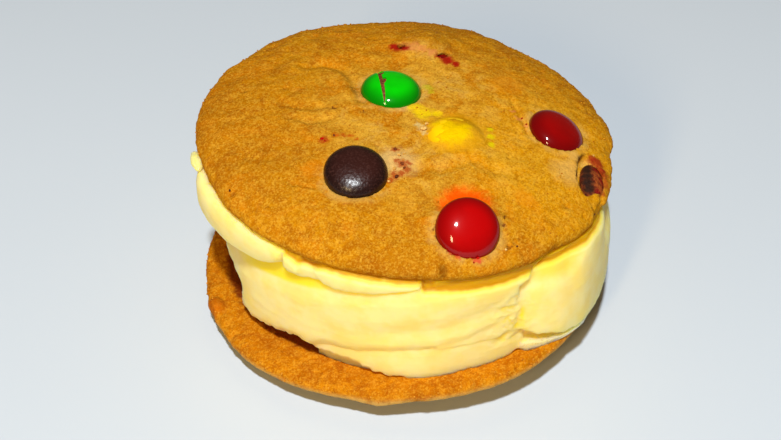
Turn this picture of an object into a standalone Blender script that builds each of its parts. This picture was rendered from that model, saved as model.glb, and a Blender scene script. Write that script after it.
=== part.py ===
"""An ice cream sandwich: two sugar cookies, the upper one studded with button candies, round folded ice cream.

Standalone Blender 4.5 script. Lengths below are in millimetres and angles in degrees; the model is in metres,
+Z up, seen from the front along +Y. The origin lies on the table under the middle of the object.
"""

import math

import bmesh
import bpy
from mathutils import Matrix, Vector

MM = 0.001
GAP = 0.3  # what neighbouring pieces keep between them

# Cookies: both lie flat side inward, the lower one upside down on its dome.
COOKIE_SEGMENTS = 60
TOP_COOKIE = dict(radius=45.1, thickness=10.0, edge=2.0, fullness=2.6, centre=(0.0, 2.6, 34.0), tilt=(0.5, 4.7))
BOTTOM_COOKIE = dict(radius=44.6, thickness=9.5, edge=1.6, fullness=2.2, centre=(-0.4, -3.2, 8.9), tilt=(0.7, -3.8))
CROWN_POWER = 1 / 1.7
CROWN_RINGS = (1.0, 0.985, 0.94, 0.87, 0.77, 0.64, 0.5, 0.34, 0.18, 0.06)  # of the radius
EDGE_STEPS = 3
# Slow waves of the rims: how many round the cookie, their height and where the first one peaks.
TOP_RIM_WAVES = ((5, 0.15, 15), (7, 0.2, 22), (9, 0.13, 10))
BOTTOM_RIM_WAVES = ((5, 0.28, 10), (6, 0.14, -11), (8, 0.1, -12))
# Nicks and runs of dough on the rims: direction, half width in degrees, reach outward and down from the dome.
TOP_RIM_RUNS = ((-2, 3.5, -0.9, 0), (69, 5, 0.4, 0), (-47, 5, -0.3, 0))
BOTTOM_RIM_RUNS = ((-97, 5, 0.6, 0.6), (-162, 5, 0.7, 0.1))
# Swells and hollows of the domes: x, y, reach and height, from the middle of the cookie.
TOP_SWELLS = (
    (-12, 15, 9, -0.7),
    (-22, 2, 8, 0.5),
    (4.5, 27, 6.5, 2.2),
    (15, -20, 9, 0.6),
    (20, 12, 8, 0.5),
    (-28, -14, 9, -0.4),
    (10, -7, 8, 0.5),
)
BOTTOM_SWELLS = ((-20, 18, 10, 0.6), (22, -12, 11, -0.6), (5, 26, 9, 0.5))

# Button candies: lens-shaped, sunk in the upper cookie. Each has its place on the dome, how far its middle plane
# lies above (or below) the dough, and how it leans: to which side and by how much.
CANDY_SIZES = (6.5, 6.5, 3.2)  # half sizes of a whole candy
CHIP_SIZES = (3.2, 5.6, 1.8)  # and of a broken one
CANDY_SEGMENTS = 18
CANDY_RINGS = 7
GREEN, BROWN, RED = (0.01, 0.36, 0.02), (0.035, 0.012, 0.008), (0.55, 0.003, 0.01)
YELLOW, DARK_RED = (0.85, 0.62, 0.01), (0.12, 0.01, 0.008)
CANDIES = {
    "candy_green": dict(at=(-4.0, 6.4), lift=-0.4, lean_to=-90, lean=0, sizes=CANDY_SIZES, colour=GREEN),
    "candy_brown": dict(at=(-11.1, -22.8), lift=0.4, lean_to=-95, lean=16, sizes=CANDY_SIZES, colour=BROWN),
    "candy_red_front": dict(at=(11.3, -35.8), lift=0.5, lean_to=-80, lean=41, sizes=CANDY_SIZES, colour=RED),
    "candy_red_right": dict(at=(31.6, -1.7), lift=-1.0, lean_to=-10, lean=23, sizes=CANDY_SIZES, colour=RED),
    "candy_yellow": dict(at=(9.1, -8.0), lift=-2.1, lean_to=-60, lean=1, sizes=CANDY_SIZES, colour=YELLOW),
    "candy_red_back": dict(at=(4.0, 26.0), lift=-4.7, lean_to=80, lean=15, sizes=CANDY_SIZES, colour=RED),
    "candy_dark_rim": dict(at=(38.8, -13.2), lift=-2.5, lean_to=-12, lean=33, sizes=CHIP_SIZES, colour=DARK_RED),
}
# Cracks in the dough over the edges of the two buried candies: candy, direction and distance from its middle,
# and half sizes outward, along the edge and in depth.
CRACKS = (
    ("candy_red_back", 197, 6.0, (1.2, 2.0, 2.6)),
    ("candy_red_back", 307, 6.0, (1.2, 2.8, 2.6)),
    ("candy_dark_rim", 176, 3.1, (0.9, 4.8, 2.6)),
)

# Ice cream: folds left by a spatula. A fold is told by its radius at each direction and each level, where level
# goes from 0 on the lower cookie to 1 under the upper one. Directions run from 0 on the right through -90 in front.
CREAM_CENTRE = (-0.4, -0.3)
CREAM_SEGMENTS = 120
CREAM_LEVELS = (0, 0.03, 0.09, 0.16, 0.23, 0.3, 0.38, 0.46, 0.54, 0.62, 0.69, 0.75, 0.81, 0.87, 0.93, 1)
CORE_RADIUS = 34.8

COOKIE_COLOUR = (0.62, 0.3, 0.07)
BAKED_COLOUR = (0.5, 0.19, 0.035)
CREAM_COLOUR = (0.95, 0.82, 0.3)


def clear_scene():
    for obj in list(bpy.data.objects):
        bpy.data.objects.remove(obj, do_unlink=True)


def make_material(name, colour, roughness):
    material = bpy.data.materials.new(name)
    material.use_nodes = True
    shader = material.node_tree.nodes["Principled BSDF"]
    shader.inputs["Base Color"].default_value = (*colour, 1)
    shader.inputs["Roughness"].default_value = roughness
    shader.inputs["Metallic"].default_value = 0
    return material


def object_from(bm, name, material):
    mesh = bpy.data.meshes.new(name)
    bm.to_mesh(mesh)
    bm.free()
    mesh.materials.append(material)
    obj = bpy.data.objects.new(name, mesh)
    bpy.context.scene.collection.objects.link(obj)
    return obj


def loft(rings):
    """A closed mesh through rings of points, each ring anticlockwise seen from the end of the list."""
    bm = bmesh.new()
    loops = [[bm.verts.new(point) for point in ring] for ring in rings]
    for low, high in zip(loops, loops[1:]):
        for i in range(len(low)):
            bm.faces.new((low[i - 1], low[i], high[i], high[i - 1]))
    bm.faces.new(loops[0][::-1])
    bm.faces.new(loops[-1])
    bmesh.ops.recalc_face_normals(bm, faces=bm.faces)
    return bm


def ramp(value, start, end):
    """0 before start and 1 after end, smoothly; start may be the larger."""
    share = min(max((value - start) / (end - start), 0), 1)
    return share * share * (3 - 2 * share)


def between(value, points):
    """Straight lines through points (place, height), held level outside them."""
    if value <= points[0][0]:
        return points[0][1]
    for (x0, y0), (x1, y1) in zip(points, points[1:]):
        if value <= x1:
            return y0 + (y1 - y0) * (value - x0) / (x1 - x0)
    return points[-1][1]


def turn_from(angle, middle):
    """The signed angle from middle to angle, from -180 to 180."""
    return (angle - middle + 180) % 360 - 180


def crown_height(cookie, share):
    """Height of the plain dome over the flat side, at a share of the radius."""
    rise = cookie["thickness"] - cookie["edge"]
    return cookie["edge"] + rise * (1 - min(share, 1) ** cookie["fullness"]) ** CROWN_POWER


def swell_height(swells, x, y):
    return sum(height * math.exp(-((x - sx) ** 2 + (y - sy) ** 2) / reach**2) for sx, sy, reach, height in swells)


def dome_height(cookie, swells, x, y):
    share = math.hypot(x, y) / cookie["radius"]
    return crown_height(cookie, share) + swell_height(swells, x, y) * (1 - ramp(share, 0.85, 1))


def rim_reach(waves, runs, angle):
    """How far the rim stands out past its plain circle."""
    reach = sum(height * math.cos(math.radians(count * (angle - peak))) for count, height, peak in waves)
    for direction, half_width, outward, _ in runs:
        reach += outward * math.exp(-((turn_from(angle, direction) / half_width) ** 2))
    return reach


def run_depth(runs, angle):
    return sum(down * math.exp(-((turn_from(angle, direction) / width) ** 2)) for direction, width, _, down in runs)


def cookie_rings(cookie, swells, waves, runs):
    """Rings from the flat side round the edge and up the dome, in the cookie's own frame."""
    edge = cookie["edge"]
    profile = [(cookie["radius"] - edge, 0)]
    for step in range(1, EDGE_STEPS):
        turn = math.pi / 2 * step / EDGE_STEPS
        profile.append((cookie["radius"] - edge + edge * math.sin(turn), edge - edge * math.cos(turn)))
    profile += [(cookie["radius"] * share, None) for share in CROWN_RINGS]
    rings = []
    for radius, height in profile:
        ring = []
        share = radius / cookie["radius"]
        for i in range(COOKIE_SEGMENTS):
            angle = 360 * i / COOKIE_SEGMENTS
            reach = radius + rim_reach(waves, runs, angle) * share**4
            x = reach * math.cos(math.radians(angle))
            y = reach * math.sin(math.radians(angle))
            z = height
            if height is None:
                swell = swell_height(swells, x, y) * (1 - ramp(share, 0.85, 1))
                z = crown_height(cookie, share) + swell + run_depth(runs, angle) * ramp(share, 0.8, 0.95)
            ring.append(Vector((x, y, z)))
        rings.append(ring)
    return rings


def placing(cookie, upside_down=False):
    tilt_x, tilt_y = cookie["tilt"]
    matrix = Matrix.Translation(Vector(cookie["centre"]))
    matrix @= Matrix.Rotation(math.radians(tilt_y), 4, "Y") @ Matrix.Rotation(math.radians(tilt_x), 4, "X")
    if upside_down:
        matrix @= Matrix.Diagonal((1, 1, -1, 1))
    return matrix


def place_on(cookie, x, y, upside_down=False):
    """Height of the cookie's flat side over the table at x, y."""
    matrix = placing(cookie, upside_down)
    normal = matrix.to_3x3() @ Vector((0, 0, 1))
    centre = matrix.translation
    return centre.z - (normal.x * (x - centre.x) + normal.y * (y - centre.y)) / normal.z


def to_metres(bm, matrix):
    bmesh.ops.transform(bm, matrix=Matrix.Scale(MM, 4) @ matrix, verts=bm.verts)


def make_bottom_cookie():
    bm = loft(cookie_rings(BOTTOM_COOKIE, BOTTOM_SWELLS, BOTTOM_RIM_WAVES, BOTTOM_RIM_RUNS))
    to_metres(bm, placing(BOTTOM_COOKIE, upside_down=True))
    bmesh.ops.reverse_faces(bm, faces=bm.faces)
    everything = bm.verts[:] + bm.edges[:] + bm.faces[:]
    cut = bmesh.ops.bisect_plane(bm, geom=everything, plane_co=(0, 0, 0), plane_no=(0, 0, -1), clear_outer=True)
    rim = [item for item in cut["geom_cut"] if isinstance(item, bmesh.types.BMEdge)]
    bmesh.ops.contextual_create(bm, geom=rim)
    bmesh.ops.recalc_face_normals(bm, faces=bm.faces)
    return object_from(bm, "bottom_cookie", make_material("baked underside", BAKED_COLOUR, 0.8))


def candy_placing(candy):
    """Where a candy's middle plane lies, in the upper cookie's frame."""
    x, y = candy["at"]
    z = dome_height(TOP_COOKIE, TOP_SWELLS, x, y) + candy["lift"]
    side = math.radians(candy["lean_to"] + 90)
    lean = Matrix.Rotation(math.radians(candy["lean"]), 4, Vector((math.cos(side), math.sin(side), 0)))
    return Matrix.Translation((x, y, z)) @ lean


def lens(half_sizes):
    bm = bmesh.new()
    bmesh.ops.create_uvsphere(bm, u_segments=CANDY_SEGMENTS, v_segments=CANDY_RINGS, radius=1)
    bmesh.ops.scale(bm, vec=half_sizes, verts=bm.verts)
    return bm


def make_candy(name, candy):
    bm = lens(candy["sizes"])
    to_metres(bm, placing(TOP_COOKIE) @ candy_placing(candy))
    return object_from(bm, name, make_material(name.replace("_", " "), candy["colour"], 0.25))


def make_cutter(name, bm):
    cutter = object_from(bm, name, make_material(name, COOKIE_COLOUR, 0.8))
    cutter.hide_render = True
    cutter.display_type = "WIRE"
    return cutter


def cut_from(obj, cutter):
    modifier = obj.modifiers.new(cutter.name, "BOOLEAN")
    modifier.operation = "DIFFERENCE"
    modifier.solver = "EXACT"
    modifier.object = cutter


def make_top_cookie():
    bm = loft(cookie_rings(TOP_COOKIE, TOP_SWELLS, TOP_RIM_WAVES, TOP_RIM_RUNS))
    to_metres(bm, placing(TOP_COOKIE))
    cookie = object_from(bm, "top_cookie", make_material("sugar cookie", COOKIE_COLOUR, 0.8))
    for name, candy in CANDIES.items():
        bm = lens([size + GAP for size in candy["sizes"]])
        to_metres(bm, placing(TOP_COOKIE) @ candy_placing(candy))
        cut_from(cookie, make_cutter("socket_of_" + name, bm))
    for number, (name, direction, distance, half_sizes) in enumerate(CRACKS):
        bm = lens(half_sizes)
        aim = Matrix.Rotation(math.radians(direction), 4, "Z")
        offset = aim @ Matrix.Translation((distance, 0, half_sizes[2] / 2))
        to_metres(bm, placing(TOP_COOKIE) @ candy_placing(CANDIES[name]) @ offset)
        cut_from(cookie, make_cutter(f"crack_{number}", bm))
    return cookie


def fold(level, low, high, nose, root, square=3):
    """Radius of one fold: it stands out to nose between its low and high level, and ends at root."""
    share = (2 * level - low - high) / (high - low)
    if abs(share) >= 1:
        return 0
    return root + (nose - root) * math.sqrt(1 - abs(share) ** square)


def upper_slab(angle, level):
    """The thick layer under the upper cookie, from the back round the left to its broken end in front."""
    turn = turn_from(angle, 180)
    if not -60 < turn < 54.5:
        return 0
    low = between(turn, ((-60, 0.72), (0, 0.6), (9, 0.62), (29, 0.73), (44, 0.81), (54, 0.84)))
    nose = between(turn, ((-60, 42.5), (-12, 43), (0, 44), (8, 45.3), (20, 45), (40, 43.5), (54, 42.3)))
    return fold(level, low, 1.25, nose, CORE_RADIUS)


def small_block(angle, level):
    return fold(level, 0.9, 1.2, 41, CORE_RADIUS, 6) if -124 < angle < -119 else 0


def second_slab(angle, level):
    """The short layer in front, broken square at its right end."""
    low = between(angle, ((-114, 0.8), (-86, 0.9)))
    return fold(level, low, 1.25, 42.6, CORE_RADIUS, 5) if -114.5 < angle < -85.5 else 0


def crease(angle):
    """Level of the groove under the belly, where the lower wedge comes out."""
    return between(angle, ((-127, -0.02), (-117, 0.2), (-110, 0.26), (-82, 0.3), (-73, 0.38), (-62, 0.45)))


def belly(angle, level):
    """The broad fold in front, with a shelf above its crest and a stepped left end."""
    left_end = between(level, ((0.08, -147), (0.2, -149), (0.36, -149), (0.42, -156), (0.6, -159)))
    if not left_end < angle < -60:
        return 0
    crest = between(angle, ((-160, 0.55), (-140, 0.61), (-131, 0.67), (-108, 0.74), (-83, 0.86), (-74, 1)))
    nose = between(angle, ((-150, 39.8), (-133, 39.5), (-115, 41.5), (-92, 43.3), (-60, 44)))
    if level > crest:
        return max(nose - 0.7 - 26 * (level - crest), CORE_RADIUS)
    foot = crease(angle) - 0.01
    waist = 0.9 * ramp(angle, -118, -85)
    face = ((-0.1, -4), (0, -1.8), (0.06, -0.4), (0.14, 0), (0.36, -waist), (0.62, -0.2), (0.9, -0.3), (1, -0.7))
    return nose + between((level - foot) / (crest - foot), face)


def lower_wedge(angle, level):
    """The fold that comes out under the belly and widens to its square right end."""
    if not -128 < angle < -57:
        return 0
    nose = between(angle, ((-128, 36.5), (-117, 38.4), (-104, 40.2), (-91, 42.3), (-80, 43.5), (-57, 42.9)))
    return fold(level, -0.4, crease(angle) + 0.02, nose, CORE_RADIUS, 5)


def right_slab(angle, level):
    """The big fold on the right: a lip over the lower cookie, a sloping face and a hollow above its crest."""
    left_end = between(level, ((0.1, -57), (0.2, -54), (0.65, -54.5), (0.7, -62), (0.84, -62), (1, -51)))
    if not left_end < angle < 64:
        return 0
    lip = between(angle, ((-57, 0.26), (-53, 0.17), (-46, 0.04), (-38, -0.05)))
    crest = between(angle, ((-57, 0.64), (-53, 0.68), (-44, 0.78), (-35, 0.93), (-28, 1.05)))
    nose = between(angle, ((-60, 44.8), (-53, 46.2), (-46, 47.6), (-34, 47.8), (-20, 46.7), (20, 46), (64, 43.5)))
    if level < lip:
        return nose - 2.3
    share = (level - lip) / (crest - lip)
    face = ((0, -0.9), (0.08, 0), (0.45, -0.5), (0.85, -1.7), (1, -2.4), (1.12, -4), (1.3, -5), (2, -5.4))
    return nose + between(share, face)


def rough_break(angle, level):
    """Small torn ledges between the belly and the right slab."""
    if not -66 < angle < -52:
        return 0
    ledges = ((0.1, 41), (0.2, 42), (0.28, 41.2), (0.38, 43.2), (0.44, 42), (0.56, 43.4), (0.62, 42), (0.8, 42))
    return between(level, ledges)


def back_folds(angle, level):
    """Two folds that close the ring behind, where nothing is seen from the front."""
    if not 58 < angle < 180:
        return 0
    crest = 0.56 + 0.06 * math.sin(math.radians(3 * angle))
    low_fold = fold(level, -0.3, crest, 42.4 - 4 * ramp(angle, 140, 178), CORE_RADIUS, 4)
    high_fold = fold(level, crest - 0.02, 1.3, 43.2, CORE_RADIUS, 4)
    return max(low_fold, high_fold if angle < 126 else 0)


CREAM_FOLDS = (upper_slab, small_block, second_slab, belly, lower_wedge, right_slab, rough_break, back_folds)


def make_ice_cream():
    rings = []
    for level in CREAM_LEVELS:
        ring = []
        for i in range(CREAM_SEGMENTS):
            angle = 360 * (i + 0.5) / CREAM_SEGMENTS - 180
            radius = max(CORE_RADIUS, max(shape(angle, level) for shape in CREAM_FOLDS))
            x = CREAM_CENTRE[0] + radius * math.cos(math.radians(angle))
            y = CREAM_CENTRE[1] + radius * math.sin(math.radians(angle))
            low = place_on(BOTTOM_COOKIE, x, y, upside_down=True) + GAP
            high = place_on(TOP_COOKIE, x, y) - GAP
            ring.append(Vector((x, y, low + (high - low) * level)))
        rings.append(ring)
    bm = loft(rings)
    to_metres(bm, Matrix.Identity(4))
    return object_from(bm, "ice_cream", make_material("vanilla ice cream", CREAM_COLOUR, 0.45))


def main():
    clear_scene()
    make_bottom_cookie()
    make_ice_cream()
    make_top_cookie()
    for name, candy in CANDIES.items():
        make_candy(name, candy)


main()
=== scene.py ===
"""An ice cream sandwich on a studio table: two sugar cookies with button candies, and folded vanilla ice cream.

Lengths are in millimetres and angles in degrees unless a name says otherwise; meshes are in metres, in the frame
of the CAD. The front of the sandwich looks along -Y.
"""

import math
import random

import bpy
import numpy as np
from mathutils import Matrix, Vector


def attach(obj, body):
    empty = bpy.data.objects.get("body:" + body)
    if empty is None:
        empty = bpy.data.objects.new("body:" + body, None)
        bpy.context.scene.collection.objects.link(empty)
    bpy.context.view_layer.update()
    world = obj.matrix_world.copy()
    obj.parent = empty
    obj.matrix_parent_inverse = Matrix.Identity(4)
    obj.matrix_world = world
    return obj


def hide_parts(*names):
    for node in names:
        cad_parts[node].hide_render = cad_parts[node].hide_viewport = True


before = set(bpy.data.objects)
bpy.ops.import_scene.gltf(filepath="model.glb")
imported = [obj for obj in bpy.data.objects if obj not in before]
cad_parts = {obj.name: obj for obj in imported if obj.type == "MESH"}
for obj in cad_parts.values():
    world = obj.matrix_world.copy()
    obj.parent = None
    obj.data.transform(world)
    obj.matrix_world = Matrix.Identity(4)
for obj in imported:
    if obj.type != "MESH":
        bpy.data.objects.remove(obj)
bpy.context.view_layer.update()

MM = 0.001
CHANCE = random.Random(41)

# The two cookies, as the CAD has them. Each has its own frame: x, y on the flat side and z up the dome.
TOP_COOKIE = dict(radius=45.1, thickness=10.0, edge=2.0, fullness=2.6, centre=(0.0, 2.6, 34.0), tilt=(0.5, 4.7))
BOTTOM_COOKIE = dict(radius=44.6, thickness=9.5, edge=1.6, fullness=2.2, centre=(-0.4, -3.2, 8.9), tilt=(0.7, -3.8))
CROWN_POWER = 1 / 1.7
RING_SHARES = (1, 0.992, 0.98, 0.96, 0.935, 0.9, 0.86, 0.81, 0.75, 0.68, 0.6, 0.5, 0.4, 0.3, 0.2, 0.1, 0.02)
RING_POINTS = 180
TOP_RIM_WAVES = ((5, 0.15, 15), (7, 0.2, 22), (9, 0.13, 10))
BOTTOM_RIM_WAVES = ((5, 0.28, 10), (6, 0.14, -11), (8, 0.1, -12))
TOP_RIM_RUNS = ((-2, 3.5, -0.9, 0), (69, 5, 0.4, 0), (-47, 5, -0.3, 0))
BOTTOM_RIM_RUNS = ((-97, 5, 0.6, 0.6), (-162, 5, 0.7, 0.1))
TOP_SWELLS = ((-12, 15, 9, -0.7), (-22, 2, 8, 0.5), (4.5, 27, 6.5, 2.2), (15, -20, 9, 0.6), (20, 12, 8, 0.5),
              (-28, -14, 9, -0.4), (10, -7, 8, 0.5))
BOTTOM_SWELLS = ((-20, 18, 10, 0.6), (22, -12, 11, -0.6), (5, 26, 9, 0.5))

# Button candies, in the upper cookie's frame: place, lift of the middle plane over the dough, lean.
CANDY_SIZES = (6.5, 6.5, 3.2)
CHIP_SIZES = (3.2, 5.6, 1.8)
CANDIES = {
    "candy_green": dict(at=(-4.0, 6.4), lift=-0.4, lean_to=-90, lean=0, sizes=CANDY_SIZES),
    "candy_brown": dict(at=(-11.1, -22.8), lift=0.4, lean_to=-95, lean=16, sizes=CANDY_SIZES),
    "candy_red_front": dict(at=(11.3, -35.8), lift=0.5, lean_to=-80, lean=41, sizes=CANDY_SIZES),
    "candy_red_right": dict(at=(31.6, -1.7), lift=-1.0, lean_to=-10, lean=23, sizes=CANDY_SIZES),
    "candy_yellow": dict(at=(9.1, -8.0), lift=-2.1, lean_to=-60, lean=1, sizes=CANDY_SIZES),
    "candy_red_back": dict(at=(4.0, 26.0), lift=-4.7, lean_to=80, lean=15, sizes=CANDY_SIZES),
    "candy_dark_rim": dict(at=(38.8, -13.2), lift=-2.5, lean_to=-12, lean=33, sizes=CHIP_SIZES),
}
CRACKS = (
    ("candy_red_back", 197, 6.0, (0.8, 1.6, 2.6)),
    ("candy_red_back", 307, 6.0, (0.7, 2.4, 2.6)),
    ("candy_dark_rim", 176, 2.6, (2.4, 6.4, 3.6)),
    ("candy_dark_rim", 176, 0.9, (2.6, 4.4, 2.9)),
)
SOCKET_GAP = 0.12
DOUGH_GRAIN = 0.435  # size of the finest faces of the dough

# Marks in the upper cookie's crust: x, y, reach, depth.
TOP_PITS = (
    (-16.1, -1.5, 0.6, 0.7), (-10.0, -2.1, 0.4, 0.4), (-26.8, 6.3, 0.7, 0.45), (-35.5, 6.5, 0.9, 0.35),
    (-35.6, -25.3, 0.55, 0.6), (-36.0, -27.2, 0.4, 0.3), (-6.9, -13.5, 0.35, 0.5), (19.9, -37.2, 0.55, 0.5),
    (21.0, -36.2, 0.5, 0.5), (6.8, -44.0, 1.1, 0.6), (18.5, -33.2, 0.6, 0.4), (19.0, -31.4, 0.4, 0.4),
    (32.4, -24.3, 0.5, 0.5), (5.3, -37.8, 0.45, 0.4), (4.7, -36.9, 0.4, 0.3), (38.5, -21.9, 0.5, 0.6),
    (-22.6, -4.0, 0.5, 0.4), (-24.5, -1.0, 0.4, 0.4), (16.6, -4.2, 0.4, 0.4), (-19.0, -31.0, 0.4, 0.4),
)
# Wrinkles: points along the line, half width and depth (below 0 a ridge).
TOP_WRINKLES = (
    (((-22.6, 15.5), (-19.2, 16.8), (-15.2, 15.6), (-12.4, 11.0), (-10.9, 6.0), (-10.7, 3.0)), 1.2, 0.55),
    (((-24.0, 16.9), (-19.0, 18.4), (-14.0, 16.8)), 1.6, -0.25),
    (((-14.6, 12.0), (-13.4, 8.0), (-13.0, 4.0)), 1.7, -0.35),
    (((1.9, -20.0), (7.4, -19.2), (12.2, -16.4), (17.7, -18.9)), 1.5, 0.4),
    (((4.0, -17.6), (9.0, -16.2), (13.0, -13.6)), 1.6, -0.2),
    (((-27.0, 1.2), (-23.2, -1.6), (-19.0, -1.2)), 0.8, 0.3),
    (((-25.0, -4.6), (-20.3, -6.2), (-17.0, -5.0)), 0.8, 0.3),
    (((-23.5, -25.0), (-21.5, -25.6), (-19.4, -26.4)), 0.5, 0.35),
    (((-33.5, -15.5), (-31.0, -17.4), (-28.5, -17.0)), 1.0, 0.25),
    (((22.4, 6.5), (24.1, 0.4), (25.2, -4.5)), 0.6, 0.35),
    (((40.2, -16.0), (40.8, -20.0), (38.6, -23.5)), 0.45, 0.5),
)

CREAM_CENTRE = (-0.4, -0.3)
CORE_RADIUS = 34.8
CREAM_AROUND = 720
CREAM_UP = 120


# ---------------------------------------------------------------- shapes shared with the CAD

def ramp(value, start, end):
    """0 before start and 1 after end, smoothly; start may be the larger."""
    share = np.clip((value - start) / (end - start), 0, 1)
    return share * share * (3 - 2 * share)


def between(value, points):
    """Straight lines through points (place, height), held level outside them."""
    places, heights = zip(*points)
    return np.interp(value, places, heights)


def turn_from(angle, middle):
    return (angle - middle + 180) % 360 - 180


def crown_height(cookie, share):
    rise = cookie["thickness"] - cookie["edge"]
    return cookie["edge"] + rise * (1 - np.minimum(share, 1) ** cookie["fullness"]) ** CROWN_POWER


def swell_height(swells, x, y):
    return sum(height * np.exp(-((x - sx) ** 2 + (y - sy) ** 2) / reach**2) for sx, sy, reach, height in swells)


def dome_height(cookie, swells, x, y):
    share = np.hypot(x, y) / cookie["radius"]
    return crown_height(cookie, share) + swell_height(swells, x, y) * (1 - ramp(share, 0.85, 1))


def rim_reach(waves, runs, angle):
    reach = sum(height * np.cos(np.radians(count * (angle - peak))) for count, height, peak in waves)
    return reach + sum(out * np.exp(-((turn_from(angle, at) / width) ** 2)) for at, width, out, _ in runs)


def run_depth(runs, angle):
    return sum(down * np.exp(-((turn_from(angle, at) / width) ** 2)) for at, width, _, down in runs)


def placing(cookie, upside_down=False):
    """From a cookie's own frame to the object's, both in millimetres."""
    tilt_x, tilt_y = cookie["tilt"]
    matrix = Matrix.Translation(Vector(cookie["centre"]))
    matrix @= Matrix.Rotation(math.radians(tilt_y), 4, "Y") @ Matrix.Rotation(math.radians(tilt_x), 4, "X")
    if upside_down:
        matrix @= Matrix.Diagonal((1, 1, -1, 1))
    return matrix


TOP_PLACE = placing(TOP_COOKIE)
BOTTOM_PLACE = placing(BOTTOM_COOKIE, upside_down=True)


def flat_side(place, x, y):
    """Height of a cookie's flat side over the table at x, y."""
    normal = place.to_3x3() @ Vector((0, 0, 1))
    centre = place.translation
    return centre.z - (normal.x * (x - centre.x) + normal.y * (y - centre.y)) / normal.z


def candy_place(candy):
    """A candy's own frame, with its middle at the origin, in the object's."""
    x, y = candy["at"]
    z = float(dome_height(TOP_COOKIE, TOP_SWELLS, x, y)) + candy["lift"]
    side = math.radians(candy["lean_to"] + 90)
    lean = Matrix.Rotation(math.radians(candy["lean"]), 4, Vector((math.cos(side), math.sin(side), 0)))
    return TOP_PLACE @ Matrix.Translation((x, y, z)) @ lean


def on_top(x, y, lift=0.0):
    """A point on the upper cookie's dome, in the object's frame."""
    return TOP_PLACE @ Vector((x, y, float(dome_height(TOP_COOKIE, TOP_SWELLS, x, y)) + lift))


# ---------------------------------------------------------------- tools for meshes

def pick_nothing():
    for obj in bpy.context.selected_objects:
        obj.select_set(False)
    bpy.context.view_layer.objects.active = None


def pick(*objs):
    pick_nothing()
    for obj in objs:
        obj.select_set(True)
    bpy.context.view_layer.objects.active = objs[0]


def put_in_place(obj, matrix):
    """Moves the mesh there (a matrix in millimetres) and leaves the object at the origin."""
    pick(obj)
    obj.matrix_world = Matrix.Scale(MM, 4) @ matrix
    bpy.ops.object.transform_apply(location=True, rotation=True, scale=True)


def modify(obj, kind, **settings):
    """One modifier, set and applied."""
    pick(obj)
    modifier = obj.modifiers.new(kind.title(), kind)
    for name, value in settings.items():
        setattr(modifier, name, value)
    bpy.ops.object.modifier_apply(modifier=modifier.name)


def discard(obj):
    mesh = obj.data
    bpy.data.objects.remove(obj)
    bpy.data.meshes.remove(mesh)


def points_of(obj):
    """The vertices as an array, in millimetres."""
    array = np.empty(len(obj.data.vertices) * 3)
    obj.data.vertices.foreach_get("co", array)
    return array.reshape(-1, 3) / MM


def move_points(obj, points):
    obj.data.vertices.foreach_set("co", (points * MM).ravel())
    obj.data.update()


def facing_of(obj):
    array = np.empty(len(obj.data.vertices) * 3)
    obj.data.vertex_normals.foreach_get("vector", array)
    return array.reshape(-1, 3)


def carried(points, matrix):
    """The points taken through a matrix."""
    full = np.array(matrix)
    return points @ full[:3, :3].T + full[:3, 3]


def mark(obj, name, values):
    """Keeps a number for every vertex, for the finish to read."""
    attribute = obj.data.attributes.new(name, "FLOAT", "POINT")
    attribute.data.foreach_set("value", np.asarray(values, np.float32))


LATTICE = np.random.default_rng(5).uniform(-1, 1, (4096, 3))
CORNERS = [(x, y, z) for x in (0, 1) for y in (0, 1) for z in (0, 1)]


def lattice(cell):
    """The same three numbers every time for a cell of the lattice."""
    x, y, z = np.moveaxis(cell, -1, 0)
    return LATTICE[(x * 73856093 ^ y * 19349663 ^ z * 83492791) & 4095]


def ripple(points):
    """Smooth noise with lumps of about 1."""
    cell = np.floor(points).astype(np.int64)
    part = points - cell
    fade = part**3 * (part * (part * 6 - 15) + 10)
    total = np.zeros(len(points))
    for corner in CORNERS:
        slope = lattice(cell + corner)
        weight = np.prod(np.where(corner, fade, 1 - fade), axis=1)
        total += weight * np.sum(slope * (part - corner), axis=1)
    return total


def lumps(points, size, octaves=3, shift=0.0):
    """Soft noise of about that size, from about -1 to 1."""
    place = points / size + shift
    return sum(ripple(place * 2.03**octave + 17.3 * octave) * 0.52**octave for octave in range(octaves)) * 1.5


def cells(points, size, shift=0.0):
    """0 in the middle of rounded cells of about that size and 1 on the lines between them."""
    place = points / size + shift
    cell = np.floor(place).astype(np.int64)
    first = np.full(len(points), 9.0)
    second = first.copy()
    for step in np.ndindex(3, 3, 3):
        near = cell + np.array(step) - 1
        away = np.linalg.norm(near + 0.5 + 0.45 * lattice(near) - place, axis=1)
        second = np.minimum(second, np.maximum(first, away))
        first = np.minimum(first, away)
    return np.maximum(0, 1 - 2.2 * (second - first))


def line_distance(x, y, line):
    """Distance from points to a broken line."""
    best = np.full(len(x), 1e9)
    for (x0, y0), (x1, y1) in zip(line, line[1:]):
        dx, dy = x1 - x0, y1 - y0
        along = np.clip(((x - x0) * dx + (y - y0) * dy) / (dx * dx + dy * dy), 0, 1)
        best = np.minimum(best, np.hypot(x - x0 - along * dx, y - y0 - along * dy))
    return best


# ---------------------------------------------------------------- cookies

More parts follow.
